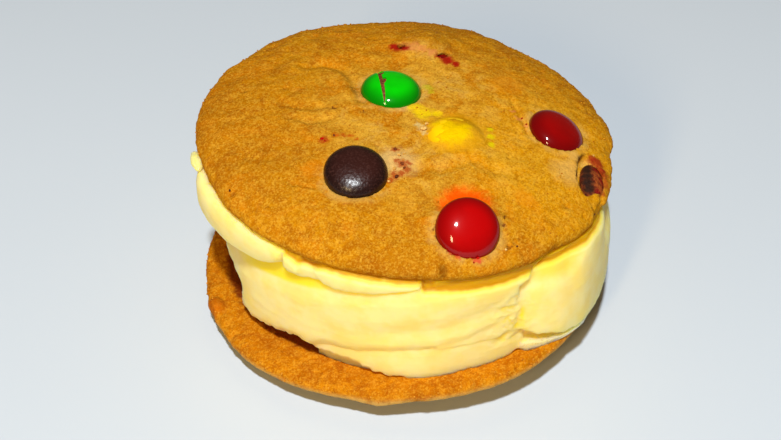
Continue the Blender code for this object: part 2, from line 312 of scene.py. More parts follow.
def draw_cookie(name, cookie, waves, runs, swells):
    """A disc drawn up ring by ring: round the edge, up the dome and closed in the middle."""
    edge = cookie["edge"]
    start = cookie["radius"] - edge
    profile = [(start + edge * math.sin(turn), edge - edge * math.cos(turn)) for turn in (0.4, 0.8, 1.2)]
    profile += [(cookie["radius"] * share, float(crown_height(cookie, share))) for share in RING_SHARES]
    pick_nothing()
    bpy.ops.mesh.primitive_circle_add(vertices=RING_POINTS, radius=start, fill_type="NGON", location=(0, 0, 0))
    obj = bpy.context.object
    obj.name = obj.data.name = name
    bpy.ops.object.mode_set(mode="EDIT")
    bpy.ops.mesh.select_all(action="SELECT")
    radius, height = start, 0.0
    for next_radius, next_height in profile:
        share = next_radius / radius
        bpy.ops.mesh.extrude_region_move(TRANSFORM_OT_translate={"value": (0, 0, next_height - height)})
        bpy.ops.transform.resize(value=(share, share, 1), center_override=(0, 0, next_height))
        radius, height = next_radius, next_height
    bpy.ops.object.mode_set(mode="OBJECT")
    points = points_of(obj) * MM
    x, y, z = points.T
    share = np.hypot(x, y) / cookie["radius"]
    angle = np.degrees(np.arctan2(y, x))
    on_dome = z > edge - 0.01
    reach = 1 + rim_reach(waves, runs, angle) * share**4 / np.maximum(np.hypot(x, y), 1e-6)
    lift = swell_height(swells, x, y) * (1 - ramp(share, 0.85, 1)) + run_depth(runs, angle) * ramp(share, 0.8, 0.95)
    move_points(obj, np.stack([x * reach, y * reach, z + lift * on_dome], axis=1) / MM)
    return obj


def lens(name, half_sizes, segments=96):
    pick_nothing()
    bpy.ops.mesh.primitive_uv_sphere_add(segments=segments, ring_count=segments // 2, radius=1, location=(0, 0, 0))
    obj = bpy.context.object
    obj.name = obj.data.name = name
    bpy.ops.object.mode_set(mode="EDIT")
    bpy.ops.mesh.select_all(action="SELECT")
    bpy.ops.transform.resize(value=half_sizes)
    bpy.ops.object.mode_set(mode="OBJECT")
    return obj


def cut_with(obj, cutter):
    modify(obj, "BOOLEAN", operation="DIFFERENCE", solver="EXACT", object=cutter)
    discard(cutter)


def lens_level(points, candy):
    """1 on the candy's shell, less inside and more outside; and the points in the candy's own frame."""
    own = carried(points, candy_place(candy).inverted())
    return np.linalg.norm(own / np.array(candy["sizes"]), axis=1), own


def hug_candies(points):
    """Dough that lies near a candy's shell settles against it."""
    for name, candy in CANDIES.items():
        level, own = lens_level(points, candy)
        if name == "candy_yellow":
            width, _, height = candy["sizes"]
            away = np.hypot(own[:, 0], own[:, 1])
            top = height * np.sqrt(np.clip(1 - (away / width) ** 2, 0, 1)) + 0.14
            over = (own[:, 2] > -1) & (away < width)
            rise = np.logaddexp(0, (top - own[:, 2]) / 0.4) * 0.4 * ramp(away, width, 0.75 * width)
            own[over, 2] += rise[over]
            points[over] = carried(own[over], candy_place(candy))
            continue
        if name in ("candy_red_front", "candy_red_right"):
            out = np.hypot(own[:, 0], own[:, 1]) / candy["sizes"][0]
            own[:, 2] += np.clip(-0.4 - own[:, 2], 0, 1.7) * ramp(out, 1.6, 1.0) * ramp(own[:, 2], -3.4, -2.2)
            level = np.linalg.norm(own / np.array(candy["sizes"]), axis=1)
            points[:] = carried(own, candy_place(candy))
        near = (level > 0.55) & (level < 1.22)
        wanted = 1.006 + 0.004 * np.sin(own[near, 0] * 3.1) * np.cos(own[near, 1] * 2.7)
        pull = 1 - ramp(level[near], 1.02, 1.2)
        new_level = level[near] + (wanted - level[near]) * pull
        own[near] *= (new_level / level[near])[:, None]
        points[near] = carried(own[near], candy_place(candy))
    return points


def make_top_cookie():
    obj = draw_cookie("sugar_cookie_top", TOP_COOKIE, TOP_RIM_WAVES, TOP_RIM_RUNS, TOP_SWELLS)
    put_in_place(obj, TOP_PLACE)
    for name, candy in CANDIES.items():
        if name == "candy_yellow":
            continue
        cutter = lens("socket", [size + SOCKET_GAP for size in candy["sizes"]], 48)
        put_in_place(cutter, candy_place(candy))
        cut_with(obj, cutter)
    for name, direction, distance, half_sizes in CRACKS:
        cutter = lens("crack", half_sizes, 32)
        aim = Matrix.Rotation(math.radians(direction), 4, "Z")
        put_in_place(cutter, candy_place(CANDIES[name]) @ aim @ Matrix.Translation((distance, 0, half_sizes[2] / 2)))
        cut_with(obj, cutter)
    modify(obj, "REMESH", mode="VOXEL", voxel_size=DOUGH_GRAIN * MM)
    points = hug_candies(points_of(obj))
    move_points(obj, points)
    modify(obj, "SMOOTH", factor=0.5, iterations=2)
    points = points_of(obj)
    own = carried(points, TOP_PLACE.inverted())
    x, y, z = own.T
    radius = np.hypot(x, y)
    on_crust = ramp(z, 0.2, 1.6)
    facing = facing_of(obj)
    distance = np.min([lens_level(points, candy)[0] for name, candy in CANDIES.items() if name != "candy_yellow"], axis=0)
    free = ramp(distance, 1.0, 1.12)  # 0 in the sockets
    slow = lumps(points, 11, 2)
    middle = lumps(points, 4.2, 3, 3.1)
    grain = lumps(points, 1.15, 3, 7.7)
    creases = cells(points, 3.4, 2.3) ** 3
    hollow = np.zeros(len(points))
    for px, py, reach, depth in TOP_PITS:
        away = np.hypot(x - px, y - py) + 0.25 * grain
        hollow += depth * np.exp(-((away / reach) ** 4))
    for _ in range(70):
        turn, out = CHANCE.uniform(0, math.tau), 44.5 * math.sqrt(CHANCE.random())
        reach = CHANCE.uniform(0.22, 0.5)
        away = np.hypot(x - out * math.cos(turn), y - out * math.sin(turn))
        hollow += CHANCE.uniform(0.1, 0.25) * np.exp(-((away / reach) ** 4))
    folds = np.zeros(len(points))
    for line, width, depth in TOP_WRINKLES:
        away = line_distance(x, y, line) + 0.5 * middle
        folds += 1.5 * depth * np.exp(-((away / (1.25 * width)) ** 2))
    hollow *= on_crust
    folds *= on_crust
    rough = 0.1 + 0.07 * ramp(radius, 36, 45)
    relief = 0.42 * slow + 0.24 * middle + 0.7 * rough * grain - 0.04 * creases
    height = (relief * (0.4 + 0.6 * on_crust) - hollow - folds) * free
    move_points(obj, points + facing * height[:, None])
    # The pits' depth, for the finish's painted shade.
    mark(obj, "hollow", np.clip(hollow * 1.4, -1, 1))
    mark(obj, "collar", ramp(distance + 0.06 * middle, 1.4, 1.06) * on_crust)
    mark(obj, "crust", on_crust)
    pick(obj)
    bpy.ops.object.shade_smooth()
    return obj


def make_bottom_cookie():
    obj = draw_cookie("sugar_cookie_bottom", BOTTOM_COOKIE, BOTTOM_RIM_WAVES, BOTTOM_RIM_RUNS, BOTTOM_SWELLS)
    put_in_place(obj, BOTTOM_PLACE)
    bpy.ops.object.mode_set(mode="EDIT")
    bpy.ops.mesh.select_all(action="SELECT")
    bpy.ops.mesh.bisect(plane_co=(0, 0, 0), plane_no=(0, 0, -1), use_fill=True, clear_outer=True)
    bpy.ops.mesh.select_all(action="SELECT")
    bpy.ops.mesh.normals_make_consistent(inside=False)
    bpy.ops.object.mode_set(mode="OBJECT")
    modify(obj, "REMESH", mode="VOXEL", voxel_size=DOUGH_GRAIN * MM)
    modify(obj, "SMOOTH", factor=0.5, iterations=2)
    points = points_of(obj)
    own = carried(points, BOTTOM_PLACE.inverted())
    x, y, z = own.T
    radius = np.hypot(x, y)
    facing = facing_of(obj)
    on_dome = ramp(z, 0.6, 2.4)
    slow = lumps(points, 9, 2, 1.7)
    middle = lumps(points, 3.6, 3, 4.1)
    grain = lumps(points, 1.1, 3, 9.7)
    creases = cells(points, 2.8, 5.3) ** 3
    hollow = np.zeros(len(points))
    for _ in range(60):
        turn, out = CHANCE.uniform(0, math.tau), CHANCE.uniform(30, 44)
        reach = CHANCE.uniform(0.2, 0.45)
        away = np.hypot(x - out * math.cos(turn), y - out * math.sin(turn))
        hollow += CHANCE.uniform(0.1, 0.3) * np.exp(-((away / reach) ** 4))
    on_table = 1 - ramp(points[:, 2], 0.1, 1.0)
    relief = 0.1 * slow + 0.1 * middle + (0.08 + 0.12 * ramp(radius, 41, 44) * (1 - on_dome)) * grain
    lump_away = np.hypot(x + 41.6, y + 15.0) + 0.35 * middle
    lump = 1.3 * np.clip(1 - (lump_away / 3.1) ** 2, 0, 1) - 0.12 * np.exp(-(((lump_away - 3.1) / 0.7) ** 2))
    flakes = 0.22 * ramp(lumps(points, 1.7, 2, 12.1), 0.0, 0.25) * ramp(radius, 41.5, 43.5) * (1 - on_dome)
    height = (relief - hollow - 0.05 * creases + flakes) * (1 - on_table)
    moved = points + facing * height[:, None]
    moved[:, 2] += lump * (1 - on_dome)
    moved[:, 2] = np.maximum(moved[:, 2], 0)
    move_points(obj, moved)
    # Painted shade for the finish: darker in the pits and creases, less so on the raised grain.
    mark(obj, "hollow", np.clip(hollow * 1.6 + 0.25 * creases - 0.2 * grain, -1, 1))
    mark(obj, "dome", on_dome)
    pick(obj)
    bpy.ops.object.shade_smooth()
    return obj


# ---------------------------------------------------------------- ice cream

def slab(level, low, nose, crown=0.8, edge=0.014):
    """Radius of a layer from its lower edge up to the cookie: a gently crowned face over a rounded lower edge."""
    share = (level - low) / (1.15 - low) * 2 - 1
    below = np.clip((low + edge - level) / edge, 0, 1)
    above = np.clip((level - 0.88) / 0.12, 0, 1) if crown > 0.5 else 0
    face = nose - crown * np.abs(share) ** 3 - 0.6 * (1 - np.sqrt(1 - below**2)) - 1.3 * (1 - np.sqrt(1 - above**2))
    return np.where(level > low, face, 0)


def upper_slab_edge(angle):
    turn = turn_from(angle, 180)
    return between(turn, ((-72, 1.0), (-69, 0.94), (-66, 0.9), (-60, 0.83), (-57, 0.82), (-50, 0.755), (-44, 0.74),
                          (-36, 0.7), (-10, 0.66), (5, 0.69), (18, 0.735), (27, 0.742), (34, 0.748), (39, 0.762),
                          (43, 0.77), (47.5, 0.79), (50.5, 0.82), (52.5, 0.85), (53.5, 0.87), (58, 0.9)))


def upper_slab(angle, level):
    """The thick layer under the upper cookie, from the back round the left to its broken end in front."""
    turn = turn_from(angle, 180)
    nose = between(turn, ((-72, 43.2), (-64, 43.9), (-52, 43.7), (-36, 43.0), (-8, 42.5), (0, 42.9), (6, 43.4), (10, 44.0), (14, 44.9), (18, 45.4), (24, 45.1),
                          (34, 44.3), (39, 43.8), (43, 43.5), (47.5, 43.3), (55, 43.2)))
    end = between(level, ((0.82, 51.2), (0.86, 53.2), (0.93, 54.2), (1, 54.7)))
    return np.where((turn > -71) & (turn < end), slab(level, upper_slab_edge(angle), nose), 0)


def small_block_edge(angle):
    return between(angle, ((-127, 0.84), (-125.6, 0.825), (-124.1, 0.805), (-121.3, 0.814), (-119, 0.822), (-117.5, 0.84),
                           (-115, 0.845), (-113, 0.86)))


def small_block(angle, level):
    """A bit of the upper layer that broke off between the two slabs."""
    block = ramp(level, 0.868, 0.876) * ramp(angle, -125.2, -124.7) * ramp(angle, -119.4, -119.9)
    nose = between(angle, ((-127, 41.4), (-125.2, 41.6), (-124.6, 42.0), (-119.4, 42.0), (-112, 41.8))) + 0.95 * block
    return np.where((angle > -127.5) & (angle < -111), slab(level, small_block_edge(angle), nose, 0.3), 0)


def second_slab_edge(angle):
    return between(angle, ((-114, 0.884), (-112.6, 0.852), (-109.7, 0.841), (-105, 0.841), (-100.6, 0.855), (-94, 0.897),
                           (-88.8, 0.928), (-86, 0.95)))


def second_slab(angle, level):
    """The short layer in front, broken square at its right end."""
    nose = between(angle, ((-115, 42.4), (-110, 42.9), (-92, 43), (-86, 42.8)))
    left = between(level, ((0.85, -112.6), (0.9, -114.4), (0.96, -115.5), (1, -114)))
    return np.where((angle > left) & (angle < -85.8), slab(level, second_slab_edge(angle), nose, 0.4), 0)


def belly_foot(angle):
    """Level of the lower edge of the belly: over the lower cookie on the left, over the wedge in front."""
    return between(angle, ((-150, 0.08), (-147.9, 0.062), (-143.4, 0.057), (-137.3, 0.085), (-129.3, 0.126),
                           (-125.9, 0.13), (-123.5, 0.138), (-120.4, 0.114), (-118.6, 0.12), (-114.5, 0.198),
                           (-108.9, 0.222), (-103.6, 0.227), (-98.9, 0.265), (-88.7, 0.303), (-77.7, 0.328),
                           (-73.1, 0.351), (-69.3, 0.399), (-65.4, 0.415), (-61, 0.37)))


def belly_crest(angle):
    return between(angle, ((-160, 0.49), (-146.3, 0.507), (-142.3, 0.535), (-134.6, 0.611), (-128.5, 0.644),
                           (-121.3, 0.674), (-107.8, 0.751), (-99.4, 0.8), (-88.8, 0.852), (-80, 0.9), (-72, 1)))


def belly(angle, level):
    """The broad fold in front, with a shelf above its crest and a stepped left end."""
    left_end = between(level, ((0.05, -146.5), (0.13, -149.6), (0.27, -148.2), (0.345, -148.4), (0.36, -154),
                               (0.39, -159), (0.45, -163)))
    nose = between(angle, ((-160, 40.3), (-152, 40.4), (-144, 41.2), (-134.6, 41.6), (-121, 41.9), (-108, 42.3),
                           (-99, 42.6), (-88.8, 42.9), (-72, 43.2), (-60, 43.3)))
    crest, foot = belly_crest(angle), belly_foot(angle)
    shelf = nose - 0.3 - between(angle, ((-160, 8), (-150, 5), (-140, 3.5), (-112, 7))) * (level - crest)
    share = (level - foot) / (crest - foot)
    depth = between(angle, ((-148, 1.6), (-120, 1.5), (-112, 0.9), (-90, 0.7), (-68, 0.6), (-60, 0.9)))
    under = depth * np.clip(1 - share / 0.2, 0, 1) ** 2
    lean = between(angle, ((-150, 0.3), (-125, 1.2), (-112, 1.0), (-95, 0.3), (-85, 0))) * np.clip(1 - share, 0, 1) ** 1.5
    waist = 0.5 * ramp(angle, -118, -85) * between(share, ((0.16, 0), (0.36, 1), (0.6, 0)))
    round_top = 0.35 * np.clip((share - 0.86) / 0.14, 0, 1) ** 2
    front = nose - under - lean - waist - round_top
    gap = np.where(angle < -119, CORE_RADIUS, nose - depth - lean - 1.5)
    front = np.where(share < 0, gap, front)
    return np.where((angle > left_end) & (angle < -58), np.where(level > crest, shelf, front), 0)


def wedge_foot(angle):
    return between(angle, ((-119, 0.098), (-111.2, 0.108), (-103.8, 0.094), (-99.8, 0.047), (-94.1, 0.003), (-88, -0.03),
                           (-62, -0.02), (-55.4, 0.027)))


def lower_wedge(angle, level):
    """The fold that comes out under the belly and widens to its square right end."""
    nose = between(angle, ((-119, 39.9), (-111, 40.6), (-104, 41.2), (-99.8, 41.6), (-94, 42.2), (-85, 42.7), (-56, 42.9)))
    top, foot = belly_foot(angle) + 0.02, wedge_foot(angle)
    share = np.clip((level - foot) / (top - foot), 0, 1.2)
    face = nose - 0.3 * share - 0.55 * np.clip((share - 0.7) / 0.3, 0, 1) ** 2
    lift = 0.8 * np.clip((foot + 0.03 - level) / 0.03, 0, 1) ** 2
    there = (angle > -119) & (angle < between(level, ((0, -54.6), (0.12, -54.4), (0.3, -57))))
    return np.where(there & (level < top + 0.02) & (level > foot), face - lift, 0)


def right_crest(angle):
    return between(angle, ((-60, 0.72), (-53, 0.735), (-47, 0.72), (-42, 0.7), (-39, 0.78), (-33, 0.99), (-28, 1.1)))


def right_slab(angle, level):
    """The big fold on the right: a lip over the lower cookie, a sloping face and a hollow above its crest."""
    left_end = between(level, ((0.16, -55.5), (0.3, -57.2), (0.62, -57.8), (0.76, -61.5), (0.8, -60), (0.87, -55.5),
                               (1.05, -47.5)))
    lip = between(angle, ((-57, 0.3), (-53, 0.2), (-48.6, 0.13), (-43, 0.075), (-39, 0.04), (-33, 0.0), (-26, -0.05)))
    nose = between(angle, ((-60, 43.2), (-56, 43.9), (-52, 45.3), (-46, 46.6), (-38, 47.2), (-30, 46.6), (-20, 45.9),
                           (-8, 45.4), (20, 44.8), (64, 43.5)))
    nose = nose - 1.7 * ramp(level, 0.45, 0.66) * ramp(angle, -24, -12)
    share = (level - lip) / (right_crest(angle) - lip)
    face = ((0, -0.35), (0.04, -0.05), (0.1, 0), (0.4, -0.2), (0.7, -0.7), (0.9, -1.2), (1, -1.6), (1.08, -2.3),
            (1.2, -3.0), (1.35, -3.2), (1.6, -3.0), (2, -2.8))
    there = (angle > left_end) & (angle < 64)
    return np.where(there, np.where(level < lip, nose - 2.6, nose + between(share, face)), 0)


def front_field(angle, level):
    """The smooth flank between the belly and the seam of the right slab."""
    nose = between(angle, ((-80, 42.6), (-66, 42.9), (-56, 43.3), (-46, 43.5)))
    right = between(level, ((0.3, -57), (0.7, -60.5), (0.8, -59.5), (0.87, -55), (1.05, -46.8)))
    there = (angle > -82) & (angle < right) & (level > 0.3)
    return np.where(there, nose, 0)


def rough_break(angle, level):
    """Small torn ledges between the belly and the right slab."""
    ledges = ((0.03, 40.6), (0.12, 41.4), (0.2, 42.4), (0.27, 41.8), (0.36, 43.0), (0.44, 42.3), (0.55, 43.3), (0.62, 42.7),
              (0.8, 42))
    return np.where((angle > -67) & (angle < -51), between(level, ledges), 0)


def back_folds(angle, level):
    """Two folds that close the ring behind."""
    crest = 0.56 + 0.06 * np.sin(np.radians(3 * angle))
    share = np.clip(np.abs(2 * level - crest + 0.3) / (crest + 0.3), 0, 1)
    low_fold = np.where(level < crest, 38 + (4.4 - 4 * ramp(angle, 140, 178)) * np.sqrt(1 - share**4), 0)
    low_fold = np.minimum(low_fold, CORE_RADIUS + 8 * ramp(angle, 181, 164))
    high_edge = crest - 0.02 + 0.17 * ramp(angle, 112, 150)
    high_nose = between(angle, ((112, 43.2), (126, 42.6), (150, 40.4)))
    high_fold = np.where(angle < 150, slab(level, high_edge, high_nose, 1.0, 0.05), 0)
    return np.where((angle > 58) & (angle < 180), np.maximum(low_fold, high_fold), 0)


def thin_ledge(angle, level):
    """The thin pale layer that shows between the right slab's lip and the lower cookie."""
    nose = between(angle, ((-57, 42.8), (-54.5, 44.0), (-50, 45.2), (-44, 46.4), (-37, 47.0), (-34, 46.4)))
    top = between(angle, ((-57, 0.12), (-54, 0.1), (-48, 0.06), (-42, 0.03), (-38, 0.01)))
    return np.where((angle > -56.5) & (angle < -34) & (level < top), nose, 0)


CREAM_FOLDS = (upper_slab, small_block, second_slab, belly, lower_wedge, right_slab, front_field, rough_break, thin_ledge,
               back_folds)


def rim_shade(angle, level):
    """1 in the band under the upper cookie's edge, where the cream draws back; the finish paints shadow there,
    olive-orange from the crust above.
    """
    start = between(angle, ((-180, 1.0), (-136, 0.985), (-126, 0.965), (-119, 0.925), (-115, 0.925), (-112, 0.962),
                            (-86, 0.962), (-85, 0.885), (-60, 0.875), (-50, 0.9), (-38, 0.915), (-20, 0.94), (180, 0.95)))
    return ramp(level, start, start + 0.045)


def fold_shade_yellow(angle, level):
    """1 in the folds, under the overhangs and in the slits, where the finish paints deep yellow shade that stands for
    light coming through the cream.
    """
    above = np.minimum(upper_slab_edge(angle), np.where(angle > -127, small_block_edge(angle), 2))
    above = np.where(angle > -113, second_slab_edge(angle), above)
    strength = between(angle, ((-165, 0), (-152, 0.35), (-142, 0.7), (-134, 1), (-118, 0.9), (-111, 0.5), (-95, 0.3), (-84, 0)))
    start = belly_crest(angle) + 0.03
    shelf = strength * ramp(level, start, start + 0.04) * (1 - ramp(level, above, above + 0.01))
    line = ramp(level, above - 0.022, above - 0.006) * ramp(level, above + 0.006, above + 0.001)
    shelf = np.maximum(shelf, line * ramp(angle, -140, -134) * ramp(angle, -86, -90))
    hollow = ramp(level, right_crest(angle) - 0.02, right_crest(angle) + 0.14)
    hollow *= between(angle, ((-60, 0), (-53, 0.4), (-48, 0.6), (-42, 0.5), (-34, 0.25), (-26, 0)))
    slits = 0
    for at, low, high, width in ((-56.8, 0.24, 0.6, 0.5), (-58.6, 0.3, 0.42, 0.6), (-60.5, 0.62, 0.74, 0.6)):
        slits = slits + np.exp(-(((angle - at) / width) ** 2)) * ramp(level, low, low + 0.05) * ramp(level, high, high - 0.05)
    return np.clip(np.maximum(shelf, hollow) + slits, 0, 1)


def blur(field, along_level, along_angle):
    """A soft average over that many rows and columns; the columns go round."""
    for _ in range(along_level):
        padded = np.pad(field, ((1, 1), (0, 0)), mode="edge")
        field = (padded[:-2] + 2 * padded[1:-1] + padded[2:]) / 4
    for _ in range(along_angle):
        field = (np.roll(field, 1, axis=1) + 2 * field + np.roll(field, -1, axis=1)) / 4
    return field


def make_ice_cream():
    """A drum cut into fine levels, each level drawn out to its folds."""
    pick_nothing()
    bpy.ops.mesh.primitive_cylinder_add(
        vertices=CREAM_AROUND, radius=CORE_RADIUS, depth=1, end_fill_type="TRIFAN", location=(0, 0, 0.5)
    )
    obj = bpy.context.object
    obj.name = obj.data.name = "vanilla_ice_cream"
    bpy.ops.object.transform_apply(location=True)
    bpy.ops.object.mode_set(mode="EDIT")
    bpy.ops.mesh.select_mode(type="EDGE")
    bpy.ops.mesh.select_all(action="DESELECT")
    bpy.ops.object.mode_set(mode="OBJECT")
    for edge in obj.data.edges:
        low, high = (obj.data.vertices[i].co.z for i in edge.vertices)
        edge.select = abs(low - high) > 0.5
    bpy.ops.object.mode_set(mode="EDIT")
    bpy.ops.mesh.subdivide(number_cuts=CREAM_UP - 1)
    bpy.ops.object.mode_set(mode="OBJECT")
    drum = points_of(obj) * MM
    level = np.round(drum[:, 2] * CREAM_UP).astype(int)
    column = np.round((np.degrees(np.arctan2(drum[:, 1], drum[:, 0])) + 180) / 360 * CREAM_AROUND).astype(int)
    column %= CREAM_AROUND
    at_pole = np.hypot(drum[:, 0], drum[:, 1]) < 1
    levels = np.arange(CREAM_UP + 1) / CREAM_UP
    angles = np.arange(CREAM_AROUND) / CREAM_AROUND * 360 - 180
    angle_grid, level_grid = np.meshgrid(angles, levels)
    round_points = np.stack(
        [40 * np.cos(np.radians(angle_grid)), 40 * np.sin(np.radians(angle_grid)), 24 * level_grid], axis=-1
    ).reshape(-1, 3)
    shape = angle_grid.shape
    tear = lumps(round_points, 1.6, 3, 0.3).reshape(shape)
    slow = lumps(round_points, 9, 2, 5.3).reshape(shape)
    streak = lumps(round_points * (0.22, 0.22, 1), 1.5, 2, 8.1).reshape(shape)
    torn_level = level_grid + (0.008 + 0.016 * ramp(level_grid, 0.24, 0.12)) * tear
    torn_angle = angle_grid + 0.45 * tear
    radius = np.max([shape_of(torn_angle, torn_level) for shape_of in CREAM_FOLDS], axis=0)
    radius = np.maximum(radius, CORE_RADIUS)
    deep = fold_shade_yellow(torn_angle, torn_level)
    shade = rim_shade(torn_angle, torn_level)
    broken = np.exp(-(((angle_grid + 60.5) / 5.5) ** 2)) * ramp(level_grid, 0.1, 0.25) * ramp(level_grid, 0.82, 0.7)
    chips = lumps(round_points, 2.2, 3, 6.6).reshape(shape)
    radius = blur(radius - 1.3 * shade, 1, 1)
    groove = np.clip((blur(radius, 30, 18) - radius) / 2.5, -1, 1)
    deep, shade = blur(deep, 2, 2), blur(shade, 1, 1)
    ledge = (thin_ledge(torn_angle, torn_level) > radius - 0.6) * 1.0
    radius += 0.14 * slow + 0.07 * streak + 0.025 * tear + broken * (0.5 * chips + 0.3 * np.abs(tear)) - 0.5 * deep * broken
    # Deeper painted shade in the grooves and in the low chips of the broken zone.
    deep = np.clip(deep + 0.6 * np.clip(groove, 0, 1) + 0.5 * broken * ramp(chips, -0.1, -0.5), 0, 1)
    x = CREAM_CENTRE[0] + radius * np.cos(np.radians(angle_grid))
    y = CREAM_CENTRE[1] + radius * np.sin(np.radians(angle_grid))
    low = flat_side(BOTTOM_PLACE, x, y) - 0.1
    high = flat_side(TOP_PLACE, x, y) + 0.1
    z = low + (high - low) * level_grid
    points = np.stack([x[level, column], y[level, column], z[level, column]], axis=1)
    for row in (0, CREAM_UP):
        poles = at_pole & (level == row)
        cx, cy = CREAM_CENTRE
        place = BOTTOM_PLACE if row == 0 else TOP_PLACE
        points[poles] = (cx, cy, flat_side(place, cx, cy) + (-0.1 if row == 0 else 0.1))
    move_points(obj, points)
    crumbled = np.clip(broken * ramp(chips, 0.1, 0.5), 0, 1)
    # Less painted shade on the crumbled bits.
    deep = deep * (1 - 0.6 * crumbled)
    for name, field in (("deep", deep), ("shade", shade), ("ledge", ledge)):
        values = field[level, column]
        values[at_pole] = 0
        mark(obj, name, values)
    bpy.ops.object.mode_set(mode="EDIT")
    bpy.ops.mesh.select_all(action="SELECT")
    bpy.ops.mesh.normals_make_consistent(inside=False)
    bpy.ops.object.mode_set(mode="OBJECT")
    pick(obj)
    bpy.ops.object.shade_smooth()
    return obj


def make_cream_dab():
    """The bit of ice cream squeezed out beside the upper cookie on the left."""
    pick_nothing()
    bpy.ops.mesh.primitive_uv_sphere_add(segments=48, ring_count=24, radius=1, location=(0, 0, 0))
    obj = bpy.context.object
    obj.name = obj.data.name = "ice_cream_dab"
    bpy.ops.object.mode_set(mode="EDIT")
    bpy.ops.mesh.select_all(action="SELECT")
    bpy.ops.transform.resize(value=(1.2, 3.2, 1.1))
    bpy.ops.object.mode_set(mode="OBJECT")
    put_in_place(obj, Matrix.Translation((-43.9, -8.2, 37.9)) @ Matrix.Rotation(math.radians(12), 4, "Z"))
    points = points_of(obj)
    move_points(obj, points + facing_of(obj) * (0.3 * lumps(points, 2.4, 2, 2.2))[:, None])
    mark(obj, "deep", np.zeros(len(points)))
    mark(obj, "shade", np.zeros(len(points)))
    mark(obj, "ledge", np.zeros(len(points)))
    pick(obj)
    bpy.ops.object.shade_smooth()
    return obj


# ---------------------------------------------------------------- finishes

def colour(red, green, blue):
    """A colour as a screen shows it, 0 to 255, for a shader."""
    def straight(value):
        value /= 255
        return value / 12.92 if value <= 0.04045 else ((value + 0.055) / 1.055) ** 2.4
    return (straight(red), straight(green), straight(blue), 1)


class Wire:
    """A socket of a finish. Arithmetic on it adds the Math nodes."""

    def __init__(self, finish, socket):
        self.finish, self.socket = finish, socket

    def math(self, operation, *values):
        return self.finish.node("ShaderNodeMath", {"operation": operation}, dict(enumerate(values)))

    def __add__(self, other):
        return self.math("ADD", self, other)

    def __radd__(self, other):
        return self.math("ADD", other, self)

    def __sub__(self, other):
        return self.math("SUBTRACT", self, other)

    def __rsub__(self, other):
        return self.math("SUBTRACT", other, self)

    def __mul__(self, other):
        return self.math("MULTIPLY", self, other)

    def __rmul__(self, other):
        return self.math("MULTIPLY", other, self)

    def __truediv__(self, other):
        return self.math("DIVIDE", self, other)

    def __pow__(self, other):
        return self.math("POWER", self, other)

    def clamp(self):
        return self.finish.node("ShaderNodeClamp", {}, {"Value": self})


class Finish:
    """A material built node by node on object coordinates in millimetres."""

    def __init__(self, name):
        self.material = bpy.data.materials.new(name)
        self.material.use_nodes = True
        self.tree = self.material.node_tree
        self.tree.nodes.clear()
        place = self.node("ShaderNodeTexCoord", {}, {}, "Object")
        self.place = self.node("ShaderNodeVectorMath", {"operation": "SCALE"}, {0: place, "Scale": 1 / MM})

    def node(self, kind, settings, sockets, output=0):
        node = self.tree.nodes.new(kind)
        for name, value in settings.items():
            if name == "stops":
                while len(node.color_ramp.elements) < len(value):
                    node.color_ramp.elements.new(0.5)
                for element, (position, shade) in zip(node.color_ramp.elements, value):
                    element.position, element.color = position, shade
            else:
                setattr(node, name, value)
        for name, value in sockets.items():
            if isinstance(value, Wire):
                self.tree.links.new(value.socket, node.inputs[name])
            else:
                node.inputs[name].default_value = value
        return None if output is None else Wire(self, node.outputs[output])

    def mix(self, share, first, second, blend="MIX"):
        settings = {"data_type": "RGBA", "blend_type": blend, "clamp_factor": True}
        return self.node("ShaderNodeMix", settings, {0: share, 6: first, 7: second}, 2)

    def cloud(self, size, detail=3.0, roughness=0.55, warp=0.0, where=None):
        """Noise whose lumps are about that many millimetres, 0 to 1."""
        sockets = {"Vector": where or self.place, "Scale": 1 / size, "Detail": detail, "Roughness": roughness,
                   "Distortion": warp}
        return self.node("ShaderNodeTexNoise", {}, sockets, "Fac")

    def cells(self, size, feature="F1", where=None):
        sockets = {"Vector": where or self.place, "Scale": 1 / size}
        return self.node("ShaderNodeTexVoronoi", {"feature": feature}, sockets, "Distance")

    def grains(self, size, where=None):
        """A tone from 0 to 1 for each grain of about that size."""
        sockets = {"Vector": where or self.place, "Scale": 1 / size}
        return self.node("ShaderNodeTexVoronoi", {"feature": "F1"}, sockets, "Color")

    def ramp(self, value, low, high, out_low=0.0, out_high=1.0):
        """Rises smoothly from out_low at low to out_high at high."""
        sockets = {0: value, 1: low, 2: high, 3: out_low, 4: out_high}
        return self.node("ShaderNodeMapRange", {"interpolation_type": "SMOOTHSTEP"}, sockets)

    def shifted(self, amount, size):
        """The place, pushed about by noise, for ragged edges."""
        sockets = {"Vector": self.place, "Scale": 1 / size, "Detail": 3.0}
        colours = self.node("ShaderNodeTexNoise", {}, sockets, "Color")
        centred = self.node("ShaderNodeVectorMath", {"operation": "SUBTRACT"}, {0: colours, 1: (0.5, 0.5, 0.5)})
        pushed = self.node("ShaderNodeVectorMath", {"operation": "SCALE"}, {0: centred, "Scale": amount})
        return self.node("ShaderNodeVectorMath", {"operation": "ADD"}, {0: self.place, 1: pushed})

    def near(self, point, inner, outer, where=None):
        """1 within inner of a point, 0 beyond outer."""
        away = self.node("ShaderNodeVectorMath", {"operation": "DISTANCE"},
                         {0: where or self.place, 1: tuple(point)}, "Value")
        return self.ramp(away, inner, outer, 1.0, 0.0)

    def attribute(self, name):
        return self.node("ShaderNodeAttribute", {"attribute_name": name}, {}, "Fac")

    def bump(self, height, depth, strength=1.0, normal=None):
        """Height from 0 to 1 over depth millimetres."""
        sockets = {"Height": height, "Distance": depth * MM, "Strength": strength}
        if normal:
            sockets["Normal"] = normal
        return self.node("ShaderNodeBump", {}, sockets, "Normal")

    def finish(self, **sockets):
        names = {name.replace("_", " ").title().replace("Ior", "IOR"): value for name, value in sockets.items()}
        shader = self.node("ShaderNodeBsdfPrincipled", {}, names)
        self.node("ShaderNodeOutputMaterial", {}, {"Surface": shader}, None)
        return self.material


